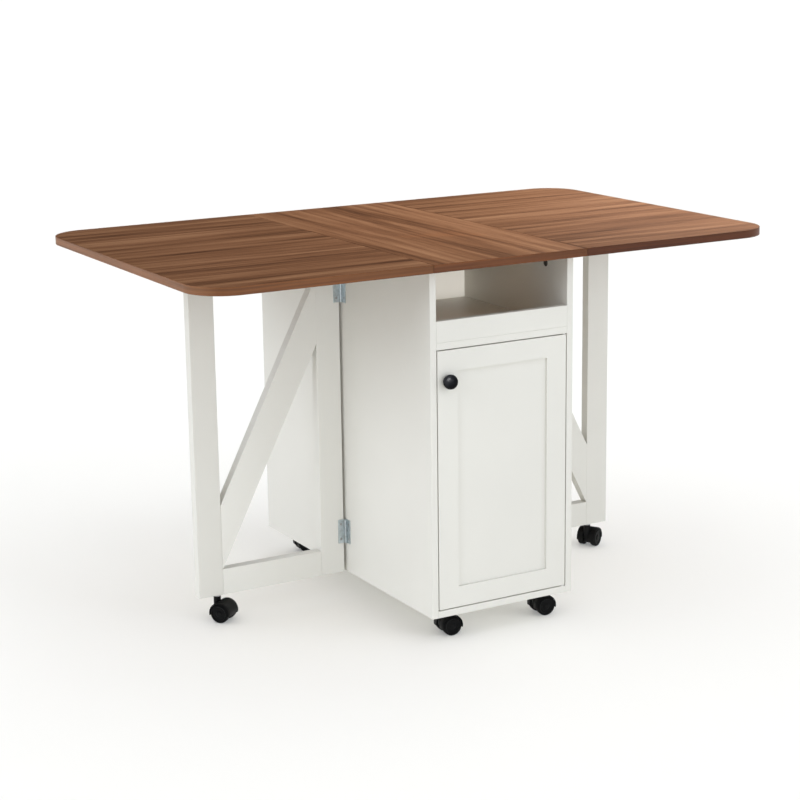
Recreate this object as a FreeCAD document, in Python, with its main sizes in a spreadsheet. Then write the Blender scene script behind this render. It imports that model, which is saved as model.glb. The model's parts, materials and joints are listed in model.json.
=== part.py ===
import FreeCAD, Part
import os
import re

doc = FreeCAD.newDocument("KitchenTable")

# Driving sizes in millimetres, turns in degrees
SIZES = (
    # Top
    ("TopLength", "1290", "length of the whole top"),
    ("TopDepth", "800", "depth of the whole top"),
    ("TableHeight", "765", "floor to top surface"),
    ("TopThickness", "16", "thickness of the top boards"),
    ("CentreWidth", "347", "width of the fixed centre board"),
    ("SeamGap", "1", "gap between centre board and leaf"),
    ("LeafCorner", "80", "corner radius of the leaves"),
    ("TopEase", "0.6", "rounding of the top board edges"),
    # Cabinet
    ("CabinetWidth", "328", "outside width of the cabinet"),
    ("CabinetDepth", "732", "outside depth of the cabinet"),
    ("PanelThickness", "14", "thickness of the cabinet panels"),
    ("PanelEase", "0.8", "rounding of the panel edges"),
    ("NicheHeight", "142", "niche floor to the underside of the top"),
    ("NicheDepth", "386", "front to the partition"),
    ("LipHeight", "42", "height of the lip rail"),
    ("RearShelfHeight", "400", "floor to rear shelf surface"),
    ("ShelfHeight", "340", "floor to inner shelf surface"),
    ("ShelfSetback", "30", "inner shelf behind the door"),
    ("ShelfPlay", "0.5", "inner shelf side clearance"),
    ("ShelfPinRadius", "2.5", "radius of a shelf pin"),
    ("ShelfPinBite", "8", "shelf pin length in and out of the panel"),
    ("ShelfPinInset", "40", "shelf pin from the shelf edge"),
    # Cam fittings
    ("CamRadius", "7.5", "radius of a cam"),
    ("CamDepth", "11", "depth of a cam in the panel"),
    ("CamDrop", "26", "cam centre below the top"),
    ("CamSpread", "289", "cam from the middle of the depth"),
    ("CamBoltRadius", "3", "radius of a cam bolt"),
    ("CamBoltBite", "11", "cam bolt length in the top"),
    # Dowels
    ("DowelRadius", "3", "radius of a dowel"),
    ("DowelBite", "9", "dowel length in a side panel"),
    ("DowelLength", "28", "length of a carcass dowel"),
    ("DowelInset", "60", "dowel from the end of a joint"),
    ("GateDowelLength", "40", "length of a gate dowel"),
    ("GateDowelSpread", "20", "between two dowels in a rail end"),
    # Door
    ("DoorGap", "2", "gap around the door"),
    ("DoorThickness", "16", "thickness of the door"),
    ("DoorStile", "45", "side border of the door"),
    ("DoorRail", "42", "upper and lower border of the door"),
    ("DoorRecess", "4", "depth of the sunk field"),
    ("PivotInset", "4", "pivot from front face and right edge"),
    ("PivotRadius", "1.75", "radius of a pivot pin"),
    ("PivotDepth", "14", "pivot pin length in the door"),
    ("PivotReach", "8", "pivot pin length in the panel"),
    ("BushRadius", "3", "radius of a pivot bush"),
    ("BushDepth", "10", "bush length in the panel"),
    ("DoorPlay", "0.4", "gap between door and bush"),
    # Knob
    ("KnobRadius", "15", "radius of the knob"),
    ("KnobReach", "24", "knob in front of the door"),
    ("KnobNeckRadius", "7", "radius of the knob neck"),
    ("KnobNeckLength", "9", "length of the knob neck"),
    ("KnobEase", "5", "rounding of the knob head"),
    ("KnobDrop", "60", "knob below the door top"),
    ("KnobScrewRadius", "2", "radius of the knob screw"),
    ("KnobScrewBite", "14", "knob screw length in the knob"),
    ("KnobScrewHead", "4", "radius of the knob screw head"),
    ("KnobScrewHeadLength", "2.5", "length of the knob screw head"),
    # Catch
    ("CatchWidth", "40", "width of the door catch"),
    ("CatchDepth", "15", "depth of the door catch"),
    ("CatchHeight", "13", "height of the door catch"),
    ("CatchInset", "30", "catch from the side panel"),
    ("StrikeThickness", "1.2", "thickness of the strike plate"),
    ("StrikeHeight", "9", "height of the strike plate"),
    ("CatchGap", "0.3", "gap between catch and strike"),
    # Gates
    ("GateLength", "334", "length of a gate"),
    ("GateMember", "54", "width of posts and rails"),
    ("GateThickness", "22", "thickness of a gate"),
    ("GateClear", "0.5", "gap between gate and leaf"),
    ("GateEase", "1", "rounding of the gate edges"),
    ("TopRailDrop", "8", "top rail below the post tops"),
    ("BraceWidth", "61", "width of the diagonal brace"),
    # Hinges
    ("HingeGap", "6", "gap between gate and cabinet side"),
    ("HingeHeight", "51", "length of a hinge"),
    ("HingeWidth", "16", "axis to plate edge"),
    ("HingePlate", "1.5", "thickness of a hinge plate"),
    ("HingeInset", "64", "hinge from the gate end"),
    ("BarrelRadius", "2.7", "radius of a hinge barrel"),
    ("PinRadius", "1.2", "radius of a hinge pin"),
    ("KnuckleGap", "0.3", "gap between knuckles"),
    ("BarrelClear", "0.4", "gap around a barrel"),
    ("LeafHingeSpread", "225", "leaf hinge from the middle"),
    ("HingeScrewReach", "10", "axis to screw centre"),
    ("HingeScrewSpread", "32", "between the screws of a plate"),
    ("ScrewHead", "2.8", "radius of a screw head"),
    ("ScrewShank", "1.4", "radius of a screw shank"),
    ("ScrewLength", "10", "screw length in the wood"),
    # Casters
    ("CasterHeight", "55", "floor to cabinet bottom"),
    ("WheelRadius", "20", "radius of a wheel"),
    ("WheelWidth", "14", "width of a wheel"),
    ("WheelEase", "3", "rounding of a wheel"),
    ("WheelDishRadius", "14", "radius of the wheel dish"),
    ("WheelDishDepth", "1.5", "depth of the wheel dish"),
    ("CasterTrail", "14", "swivel axis to axle"),
    ("HoodWidth", "15", "width of the hood"),
    ("HoodRadius", "15", "radius of the hood around the axle"),
    ("AxleRadius", "2.5", "radius of the axle"),
    ("AxleBite", "9", "axle length in a wheel"),
    ("StemRadius", "4", "radius of a caster stem"),
    ("StemBite", "12", "stem length in the wood"),
    ("StemDrop", "20", "stem length below the flange"),
    ("FlangeRadius", "8", "radius of the stem flange"),
    ("FlangeThickness", "3", "thickness of the stem flange"),
    ("CasterPlay", "0.5", "gap between caster pieces"),
    ("RunPlay", "0.05", "running clearance around shafts"),
    ("CasterInsetX", "52", "caster from the cabinet side"),
    ("CasterInsetY", "52", "caster from the cabinet front"),
    ("GateCasterInset", "44", "caster from the gate end"),
    ("CabinetCasterTurn", "-5", "trail turn of the cabinet casters"),
    ("LeftCasterTurn", "-53", "trail turn of the left gate caster"),
    ("RightCasterTurn", "30", "trail turn of the right gate caster"),
    # Cutting
    ("Overrun", "1", "cutters past a face"),
)

sheet = doc.addObject("Spreadsheet::Sheet", "Sizes")
for row, (alias, value, meaning) in enumerate(SIZES, start=1):
    sheet.set(f"A{row}", meaning)
    sheet.set(f"B{row}", value)
    sheet.setAlias(f"B{row}", alias)
doc.recompute()

# Shared levels and planes
UNDER_TOP = "(TableHeight - TopThickness)"
SIDE_OUT = "(CabinetWidth / 2)"
SIDE_IN = "(CabinetWidth / 2 - PanelThickness)"
INSIDE = "(CabinetWidth - 2 * PanelThickness)"
FRONT = "(-CabinetDepth / 2)"
BACK = "(CabinetDepth / 2)"
BASE_TOP = "(CasterHeight + PanelThickness)"
NICHE_LEVEL = "(TableHeight - TopThickness - NicheHeight)"
NICHE_UNDER = "(TableHeight - TopThickness - NicheHeight - PanelThickness)"
PARTITION_FRONT = "(NicheDepth - CabinetDepth / 2)"
PARTITION_BACK = "(NicheDepth + PanelThickness - CabinetDepth / 2)"
DOOR_BACK = "(DoorThickness - CabinetDepth / 2)"
DOOR_TOP = "(TableHeight - TopThickness - NicheHeight - PanelThickness - DoorGap)"
DOOR_BOTTOM = "(CasterHeight + PanelThickness + DoorGap)"
GATE_IN = "(CabinetWidth / 2 + HingeGap)"
GATE_OUT = "(CabinetWidth / 2 + HingeGap + GateLength)"
GATE_TOP = "(TableHeight - TopThickness - GateClear)"
RAIL_TOP = "(TableHeight - TopThickness - GateClear - TopRailDrop)"
SEAM = "(CentreWidth / 2 + SeamGap / 2)"

X = FreeCAD.Vector(1, 0, 0)
Y = FreeCAD.Vector(0, 1, 0)
Z = FreeCAD.Vector(0, 0, 1)
UPRIGHT = FreeCAD.Rotation()
nodes = []


def bound(text):
    """Name the sheet in front of every size word."""
    return re.sub(r"\b([A-Z][A-Za-z]+)", r"Sizes.\1", text)


def place(thing, spot, rotation=UPRIGHT):
    """Turn a thing and bind its position."""
    thing.Placement = FreeCAD.Placement(FreeCAD.Vector(), rotation)
    for axis, text in zip("xyz", spot):
        thing.setExpression(f"Placement.Base.{axis}", bound(text))
    return thing


def box(name, spot, extent):
    """Box from its lowest corner."""
    thing = doc.addObject("Part::Box", name)
    for field, text in zip(("Length", "Width", "Height"), extent):
        thing.setExpression(field, bound(text))
    return place(thing, spot)


def rod(name, spot, radius, length, along=Z):
    """Cylinder that starts at a spot and runs along a direction."""
    thing = doc.addObject("Part::Cylinder", name)
    thing.setExpression("Radius", bound(radius))
    thing.setExpression("Height", bound(length))
    return place(thing, spot, FreeCAD.Rotation(Z, along))


def gather(name, things):
    """Group of separate solids."""
    thing = doc.addObject("Part::Compound", name)
    thing.Links = list(things)
    return thing


def copy_at(name, source, spot, rotation):
    """A source shape placed again."""
    return place(gather(name, [source]), spot, rotation)


def join(name, things):
    """One solid out of several."""
    thing = doc.addObject("Part::MultiFuse", name)
    thing.Shapes = list(things)
    thing.Refine = True
    return thing


def carve(name, base, *tools):
    """Cut the tools out of a base one after another."""
    for count, tool in enumerate(tools, start=1):
        step = doc.addObject("Part::Cut", name if count == len(tools) else f"{name}_step")
        step.Base = base
        step.Tool = tool
        base = step
    return base


def ease(name, base, size, wanted=None):
    """Round the wanted edges of a base by a named size."""
    doc.recompute()
    radius = float(sheet.get(size))
    thing = doc.addObject("Part::Fillet", name)
    thing.Base = base
    thing.Edges = [
        (index, radius, radius)
        for index, edge in enumerate(base.Shape.Edges, start=1)
        if wanted is None or wanted(edge, base.Shape)
    ]
    return thing


def node(thing, name):
    """Keep a thing as one named sub-part."""
    thing.Label = name
    nodes.append(thing)
    return thing


def level(edge, shape):
    """Edges that lie in a horizontal plane."""
    return edge.BoundBox.ZLength < shape.BoundBox.ZLength / 2


def outer_corner(edge, shape):
    """Upright edges on the far side from the middle of the table."""
    return not level(edge, shape) and abs(edge.CenterOfMass.x) > abs(shape.CenterOfMass.x)


def hub_free(edge, shape):
    """Edges on the rim of a round piece."""
    return edge.BoundBox.DiagonalLength > shape.BoundBox.DiagonalLength / 2


def outward(side, near, far):
    """Lowest X of a span measured outward from the middle."""
    return f"-({far})" if side == "left" else f"({near})"


def mirrored(side, distance):
    """X of a point measured outward from the middle."""
    return f"-({distance})" if side == "left" else f"({distance})"


def toward(side):
    """Direction away from the middle."""
    return -X if side == "left" else X


def hinge_frame(mount, run):
    """Turn that lays a hinge half against a mount face, its plate running one way."""
    return FreeCAD.Rotation(-mount, run, run.cross(mount), "XYZ")


# Hinge halves about an upright axis, mount face on the low X side, plate towards high Y
OFFSET = "(HingeGap / 2)"
PLATE_START = "(BarrelRadius + BarrelClear)"
THIRD = "(HingeHeight / 6)"
HALF = "(HingeHeight / 2)"


def hinge_plate(name):
    """Flat of a hinge half."""
    return box(
        name,
        (f"-{OFFSET}", PLATE_START, f"-{HALF}"),
        ("HingePlate", f"HingeWidth - {PLATE_START}", "HingeHeight"),
    )


def knuckle(name, low, length):
    """Barrel piece with the tongue that holds it to the plate."""
    barrel = rod(f"{name}_barrel", ("0", "0", low), "BarrelRadius", length)
    tongue = box(f"{name}_tongue", (f"-{OFFSET}", "0", low), ("HingePlate", PLATE_START, length))
    return [barrel, tongue]


def screw_at(name, spot, along):
    """Countersunk screw, its head face at the spot."""
    head = doc.addObject("Part::Cone", f"{name}_head")
    head.setExpression("Radius1", bound("ScrewHead"))
    head.setExpression("Radius2", bound("ScrewShank"))
    head.setExpression("Height", bound("HingePlate"))
    place(head, spot, FreeCAD.Rotation(Z, along))
    shank = rod(f"{name}_shank", spot, "ScrewShank", "HingePlate + ScrewLength", along)
    return join(name, [head, shank])


hinge_screws = gather(
    "hinge_screws",
    [
        screw_at(f"hinge_screw_{tag}", (f"HingePlate - {OFFSET}", "HingeScrewReach", height), -X)
        for tag, height in (("low", "-HingeScrewSpread / 2"), ("high", "HingeScrewSpread / 2"))
    ],
)
hinge_pin = rod("hinge_pin", ("0", "0", f"-{HALF}"), "PinRadius", "HingeHeight")
fixed_solid = join(
    "fixed_solid",
    [hinge_plate("fixed_plate")]
    + knuckle("fixed_low", f"-{HALF}", f"{HALF} - {THIRD}")
    + knuckle("fixed_high", THIRD, f"{HALF} - {THIRD}"),
)
fixed_half = carve("fixed_half", fixed_solid, hinge_pin, hinge_screws)
moving_solid = join(
    "moving_solid",
    [hinge_plate("moving_plate")]
    + knuckle("moving_middle", f"KnuckleGap - {THIRD}", f"2 * ({THIRD} - KnuckleGap)"),
)
moving_bore = rod("moving_bore", ("0", "0", f"-{HALF}"), "PinRadius + RunPlay", "HingeHeight")
moving_half = carve("moving_half", moving_solid, moving_bore, hinge_screws)
hinge_pocket = box(
    "hinge_pocket",
    (f"-{OFFSET}", f"-{PLATE_START}", f"-{HALF} - KnuckleGap"),
    ("HingePlate + Overrun", f"HingeWidth + KnuckleGap + {PLATE_START}", "HingeHeight + 2 * KnuckleGap"),
)

# Hinge places, each with its side, its spot and the turns of both halves
hinge_rows = []
for side in ("left", "right"):
    leaf_height = f"{UNDER_TOP} + HingePlate - {OFFSET}"
    for tag, depth in (("front", "-LeafHingeSpread"), ("back", "LeafHingeSpread")):
        spot = (mirrored(side, SEAM), depth, leaf_height)
        turns = (hinge_frame(Z, -toward(side)), hinge_frame(Z, toward(side)))
        hinge_rows.append(("leaf", side, tag, spot, turns))
    gate_x = mirrored(side, f"{SIDE_OUT} + {OFFSET}")
    gate_y = f"-GateThickness / 2 - {OFFSET}"
    for tag, height in (
        ("low", f"CasterHeight + HingeInset + {HALF}"),
        ("high", f"{GATE_TOP} - HingeInset - {HALF}"),
    ):
        turns = (hinge_frame(-toward(side), -Y), hinge_frame(Y, toward(side)))
        hinge_rows.append(("gate", side, tag, (gate_x, gate_y, height), turns))

hinge_parts = {}
for kind, side, tag, spot, (fixed_turn, moving_turn) in hinge_rows:
    label = f"{kind}_{side}_{tag}"
    made = (
        ("fixed", fixed_half, fixed_turn),
        ("moving", moving_half, moving_turn),
        ("pin", hinge_pin, fixed_turn),
        ("fixed_screws", hinge_screws, fixed_turn),
        ("moving_screws", hinge_screws, moving_turn),
        ("fixed_pocket", hinge_pocket, fixed_turn),
        ("moving_pocket", hinge_pocket, moving_turn),
    )
    for piece, source, turn in made:
        if kind == "leaf" or "pocket" not in piece:
            thing = copy_at(f"{label}_{piece}", source, spot, turn)
            hinge_parts.setdefault((kind, side, piece), []).append(thing)


def hinge_set(name, kind, piece, sides=("left", "right")):
    """All hinge pieces of one kind as a group."""
    return gather(name, [thing for side in sides for thing in hinge_parts[kind, side, piece]])


node(hinge_set("gate_hinge_fixed_plates", "gate", "fixed"), "gate_hinge_fixed_plates")
node(hinge_set("leaf_hinge_fixed_plates", "leaf", "fixed"), "leaf_hinge_fixed_plates")
pins = [thing for kind in ("gate", "leaf") for side in ("left", "right")
        for thing in hinge_parts[kind, side, "pin"]]
node(gather("hinge_pins", pins), "hinge_pins")
fixed_screws = [thing for kind in ("gate", "leaf") for side in ("left", "right")
                for thing in hinge_parts[kind, side, "fixed_screws"]]
node(gather("cabinet_screws", fixed_screws), "cabinet_screws")

# Casters about an upright swivel axis, trail towards high X
STEM_END = "(CasterHeight - FlangeThickness - StemDrop)"
HOOD_TOP = "(CasterHeight - FlangeThickness - CasterPlay)"
WHEEL_IN = "(HoodWidth / 2 + CasterPlay)"
stem = join(
    "stem",
    [
        rod("stem_rod", ("0", "0", STEM_END), "StemRadius", "StemDrop + FlangeThickness + StemBite"),
        rod("stem_flange", ("0", "0", "CasterHeight - FlangeThickness"), "FlangeRadius", "FlangeThickness"),
    ],
)
hood_solid = join(
    "hood_solid",
    [
        rod("hood_boss", ("0", "0", "WheelRadius"), "HoodWidth / 2", f"{HOOD_TOP} - WheelRadius"),
        rod("hood_disc", ("CasterTrail", "-HoodWidth / 2", "WheelRadius"), "HoodRadius", "HoodWidth", Y),
        box(
            "hood_neck",
            ("0", "-HoodWidth / 2", "WheelRadius"),
            ("CasterTrail", "HoodWidth", "HoodRadius"),
        ),
    ],
)
hood_bore = rod(
    "hood_bore",
    ("0", "0", f"{STEM_END} - CasterPlay"),
    "StemRadius + RunPlay",
    "StemDrop + FlangeThickness",
)
axle_bore = rod(
    "axle_bore",
    ("CasterTrail", "-HoodWidth / 2 - Overrun", "WheelRadius"),
    "AxleRadius + RunPlay",
    "HoodWidth + 2 * Overrun",
    Y,
)
hood = carve("hood", hood_solid, hood_bore, axle_bore)
axle = rod(
    "axle",
    ("CasterTrail", f"-{WHEEL_IN} - AxleBite", "WheelRadius"),
    "AxleRadius",
    f"2 * ({WHEEL_IN} + AxleBite)",
    Y,
)
wheel_pair = [axle]
for tag, start, dish_start in (
    ("near", f"-{WHEEL_IN} - WheelWidth", f"-{WHEEL_IN} - WheelWidth - Overrun"),
    ("far", WHEEL_IN, f"{WHEEL_IN} + WheelWidth - WheelDishDepth"),
):
    disc = rod(f"wheel_{tag}_disc", ("CasterTrail", start, "WheelRadius"), "WheelRadius", "WheelWidth", Y)
    tyre = ease(f"wheel_{tag}_tyre", disc, "WheelEase", hub_free)
    dish = rod(
        f"wheel_{tag}_dish",
        ("CasterTrail", dish_start, "WheelRadius"),
        "WheelDishRadius",
        "WheelDishDepth + Overrun",
        Y,
    )
    wheel_pair.append(carve(f"wheel_{tag}", tyre, dish, axle))
wheels = gather("wheels", wheel_pair)

CASTER_X = f"({SIDE_OUT} - CasterInsetX)"
CASTER_Y = f"({BACK} - CasterInsetY)"
GATE_CASTER_X = f"({GATE_OUT} - GateCasterInset)"
caster_rows = (
    ("front_left", (f"-{CASTER_X}", f"-{CASTER_Y}", "0"), "CabinetCasterTurn"),
    ("front_right", (CASTER_X, f"-{CASTER_Y}", "0"), "CabinetCasterTurn"),
    ("rear_left", (f"-{CASTER_X}", CASTER_Y, "0"), "CabinetCasterTurn"),
    ("rear_right", (CASTER_X, CASTER_Y, "0"), "CabinetCasterTurn"),
    ("gate_left", (f"-{GATE_CASTER_X}", "0", "0"), "LeftCasterTurn"),
    ("gate_right", (GATE_CASTER_X, "0", "0"), "RightCasterTurn"),
)
stems = {}
for tag, spot, turn in caster_rows:
    stems[tag] = copy_at(f"stem_{tag}", stem, spot, UPRIGHT)
    for piece, source in (("hood", hood), ("wheels", wheels)):
        thing = copy_at(f"caster_{piece}_{tag}", source, spot, FreeCAD.Rotation(Z, 1))
        thing.setExpression("Placement.Rotation.Angle", bound(turn))
        node(thing, f"caster_{piece}_{tag}")
cabinet_stems = [stems[tag] for tag in ("front_left", "front_right", "rear_left", "rear_right")]
caster_stems = node(gather("caster_stems", cabinet_stems), "caster_stems")

# Cam fittings between side panels and top
cams = {"left": [], "right": []}
bolts = []
for side in ("left", "right"):
    for tag, depth in (("front", "-CamSpread"), ("back", "CamSpread")):
        cam_spot = (mirrored(side, SIDE_IN), depth, f"{UNDER_TOP} - CamDrop")
        cams[side].append(rod(f"cam_{side}_{tag}", cam_spot, "CamRadius", "CamDepth", toward(side)))
        bolt_x = mirrored(side, f"{SIDE_IN} + PanelThickness / 2")
        bolt_spot = (bolt_x, depth, f"{UNDER_TOP} - CamDrop + CamRadius")
        bolt = rod(f"cam_bolt_{side}_{tag}", bolt_spot, "CamBoltRadius", "CamDrop - CamRadius + CamBoltBite")
        cams[side].append(bolt)
        bolts.append(bolt)
node(gather("cam_fittings", cams["left"] + cams["right"]), "cam_fittings")
cam_bolts = gather("cam_bolts", bolts)

# Dowels between side panels and cross panels
HALF_PANEL = "(PanelThickness / 2)"
dowel_rows = (
    ("base", f"{FRONT} + DowelInset", f"CasterHeight + {HALF_PANEL}"),
    ("base", f"{BACK} - DowelInset", f"CasterHeight + {HALF_PANEL}"),
    ("niche", f"{FRONT} + DowelInset", f"{NICHE_LEVEL} - {HALF_PANEL}"),
    ("niche", f"{PARTITION_FRONT} - DowelInset", f"{NICHE_LEVEL} - {HALF_PANEL}"),
    ("partition", f"{PARTITION_FRONT} + {HALF_PANEL}", f"{BASE_TOP} + DowelInset"),
    ("partition", f"{PARTITION_FRONT} + {HALF_PANEL}", f"{UNDER_TOP} - DowelInset"),
    ("rear", f"{PARTITION_BACK} + DowelInset", f"RearShelfHeight - {HALF_PANEL}"),
    ("rear", f"{BACK} - DowelInset", f"RearShelfHeight - {HALF_PANEL}"),
    ("lip", f"{FRONT} + {HALF_PANEL}", f"{NICHE_LEVEL} + LipHeight / 2"),
)
dowels = {}
for place_number, (panel, depth, height) in enumerate(dowel_rows):
    for side in ("left", "right"):
        start = mirrored(side, f"{SIDE_IN} + DowelBite - DowelLength")
        thing = rod(
            f"dowel_{panel}_{side}_{place_number}",
            (start, depth, height),
            "DowelRadius",
            "DowelLength",
            toward(side),
        )
        dowels.setdefault(panel, []).append(thing)
        dowels.setdefault(side, []).append(thing)
node(gather("carcass_dowels", dowels["left"] + dowels["right"]), "carcass_dowels")

# Inner shelf on pins
SHELF_FRONT = f"({DOOR_BACK} + ShelfSetback)"
shelf_box = box(
    "shelf_box",
    (f"ShelfPlay - {SIDE_IN}", SHELF_FRONT, "ShelfHeight - PanelThickness"),
    (f"{INSIDE} - 2 * ShelfPlay", f"{PARTITION_FRONT} - ShelfPlay - {SHELF_FRONT}", "PanelThickness"),
)
node(ease("cabinet_shelf", shelf_box, "PanelEase"), "cabinet_shelf")
shelf_pins = {"left": [], "right": []}
for side in ("left", "right"):
    for tag, depth in (
        ("front", f"{SHELF_FRONT} + ShelfPinInset"),
        ("back", f"{PARTITION_FRONT} - ShelfPinInset"),
    ):
        pin_spot = (
            mirrored(side, f"{SIDE_IN} - ShelfPinBite"),
            depth,
            "ShelfHeight - PanelThickness - ShelfPinRadius",
        )
        pin = rod(f"shelf_pin_{side}_{tag}", pin_spot, "ShelfPinRadius", "2 * ShelfPinBite", toward(side))
        shelf_pins[side].append(pin)
node(gather("shelf_pins", shelf_pins["left"] + shelf_pins["right"]), "shelf_pins")

# Side panels
for side in ("left", "right"):
    name = f"side_panel_{side}"
    blank = box(
        f"{name}_blank",
        (outward(side, SIDE_IN, SIDE_OUT), FRONT, "CasterHeight"),
        ("PanelThickness", "CabinetDepth", f"{UNDER_TOP} - CasterHeight"),
    )
    panel = carve(
        name,
        ease(f"{name}_eased", blank, "PanelEase"),
        gather(f"{name}_dowels", dowels[side]),
        gather(f"{name}_cams", cams[side]),
        gather(f"{name}_pins", shelf_pins[side]),
        gather(f"{name}_screws", hinge_parts["gate", side, "fixed_screws"]),
    )
    node(panel, name)

# Door pivots on the right
PIVOT_X = f"({SIDE_IN} - DoorGap - PivotInset)"
PIVOT_Y = f"({FRONT} + PivotInset)"
pivot_pins = [
    rod(
        "pivot_low",
        (PIVOT_X, PIVOT_Y, f"{BASE_TOP} - PivotReach"),
        "PivotRadius",
        "PivotReach + DoorGap + PivotDepth",
    ),
    rod(
        "pivot_high",
        (PIVOT_X, PIVOT_Y, f"{DOOR_TOP} - PivotDepth"),
        "PivotRadius",
        "PivotReach + DoorGap + PivotDepth",
    ),
]
door_pivots = node(gather("door_pivot_pins", pivot_pins), "door_pivot_pins")
bush_rods = [
    rod(
        "bush_low_rod",
        (PIVOT_X, PIVOT_Y, f"{BASE_TOP} - BushDepth"),
        "BushRadius",
        "BushDepth + DoorGap - DoorPlay",
    ),
    rod(
        "bush_high_rod",
        (PIVOT_X, PIVOT_Y, f"{DOOR_TOP} + DoorPlay"),
        "BushRadius",
        "BushDepth + DoorGap - DoorPlay",
    ),
]
bush_bores = [
    rod(
        "bush_low_bore",
        (PIVOT_X, PIVOT_Y, f"{BASE_TOP} - PivotReach - DoorPlay"),
        "PivotRadius + RunPlay",
        "PivotReach + DoorPlay + DoorGap",
    ),
    rod(
        "bush_high_bore",
        (PIVOT_X, PIVOT_Y, DOOR_TOP),
        "PivotRadius + RunPlay",
        "DoorGap + PivotReach + DoorPlay",
    ),
]
bushes = [
    carve(f"bush_{tag}", solid, bore) for tag, solid, bore in zip(("low", "high"), bush_rods, bush_bores)
]
node(gather("door_pivot_bushes", bushes), "door_pivot_bushes")

# Cross panels
base_blank = box(
    "base_blank",
    (f"-{SIDE_IN}", FRONT, "CasterHeight"),
    (INSIDE, "CabinetDepth", "PanelThickness"),
)
base = carve(
    "base_panel",
    ease("base_eased", base_blank, "PanelEase"),
    gather("base_dowels", dowels["base"]),
    caster_stems,
    bush_rods[0],
)
node(base, "base_panel")
niche_blank = box(
    "niche_blank",
    (f"-{SIDE_IN}", FRONT, NICHE_UNDER),
    (INSIDE, "NicheDepth", "PanelThickness"),
)
niche = carve(
    "niche_floor",
    ease("niche_eased", niche_blank, "PanelEase"),
    gather("niche_dowels", dowels["niche"]),
    bush_rods[1],
)
node(niche, "niche_floor")
partition_blank = box(
    "partition_blank",
    (f"-{SIDE_IN}", PARTITION_FRONT, BASE_TOP),
    (INSIDE, "PanelThickness", f"{UNDER_TOP} - {BASE_TOP}"),
)
partition = carve("mid_partition", partition_blank, gather("partition_dowels", dowels["partition"]))
node(partition, "mid_partition")
lip_blank = box(
    "lip_blank",
    (f"-{SIDE_IN}", FRONT, NICHE_LEVEL),
    (INSIDE, "PanelThickness", "LipHeight"),
)
lip = carve("lip_rail", ease("lip_eased", lip_blank, "PanelEase"), gather("lip_dowels", dowels["lip"]))
node(lip, "lip_rail")
rear_blank = box(
    "rear_blank",
    (f"-{SIDE_IN}", PARTITION_BACK, "RearShelfHeight - PanelThickness"),
    (INSIDE, f"{BACK} - {PARTITION_BACK}", "PanelThickness"),
)
rear_eased = ease("rear_eased", rear_blank, "PanelEase")
rear = carve("rear_shelf", rear_eased, gather("rear_dowels", dowels["rear"]))
node(rear, "rear_shelf")

# Knob and its screw
KNOB_X = f"(DoorGap + DoorStile / 2 - {SIDE_IN})"
KNOB_Z = f"({DOOR_TOP} - KnobDrop)"
knob_head = rod(
    "knob_head",
    (KNOB_X, f"{FRONT} - KnobNeckLength", KNOB_Z),
    "KnobRadius",
    "KnobReach - KnobNeckLength",
    -Y,
)
knob_neck = rod("knob_neck", (KNOB_X, FRONT, KNOB_Z), "KnobNeckRadius", "KnobNeckLength", -Y)
knob_solid = join("knob_solid", [ease("knob_round", knob_head, "KnobEase", hub_free), knob_neck])
knob_shank = rod(
    "knob_shank",
    (KNOB_X, DOOR_BACK, KNOB_Z),
    "KnobScrewRadius",
    "DoorThickness + KnobScrewBite",
    -Y,
)
knob_screw_head = rod(
    "knob_screw_head",
    (KNOB_X, DOOR_BACK, KNOB_Z),
    "KnobScrewHead",
    "KnobScrewHeadLength",
    Y,
)
node(carve("knob", knob_solid, knob_shank), "knob")
node(join("knob_screw", [knob_shank, knob_screw_head]), "knob_screw")

# Door with a sunk field
DOOR_WIDE = f"({INSIDE} - 2 * DoorGap)"
DOOR_TALL = f"({DOOR_TOP} - {DOOR_BOTTOM})"
door_blank = box(
    "door_blank",
    (f"DoorGap - {SIDE_IN}", FRONT, DOOR_BOTTOM),
    (DOOR_WIDE, "DoorThickness", DOOR_TALL),
)
door_field = box(
    "door_field",
    (f"DoorGap + DoorStile - {SIDE_IN}", f"{FRONT} - Overrun", f"{DOOR_BOTTOM} + DoorRail"),
    (f"{DOOR_WIDE} - 2 * DoorStile", "DoorRecess + Overrun", f"{DOOR_TALL} - 2 * DoorRail"),
)
door = carve("door", ease("door_eased", door_blank, "PanelEase"), door_field, door_pivots, knob_shank)
node(door, "door")

# Door catch and strike
CATCH_X = f"(CatchInset - {SIDE_IN})"
strike = box(
    "door_strike",
    (CATCH_X, DOOR_BACK, f"{NICHE_UNDER} - CatchHeight"),
    ("CatchWidth", "StrikeThickness", "StrikeHeight"),
)
node(strike, "door_strike")
catch = box(
    "door_catch",
    (CATCH_X, f"{DOOR_BACK} + StrikeThickness + CatchGap", f"{NICHE_UNDER} - CatchHeight"),
    ("CatchWidth", "CatchDepth", "CatchHeight"),
)
node(catch, "door_catch")

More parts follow.
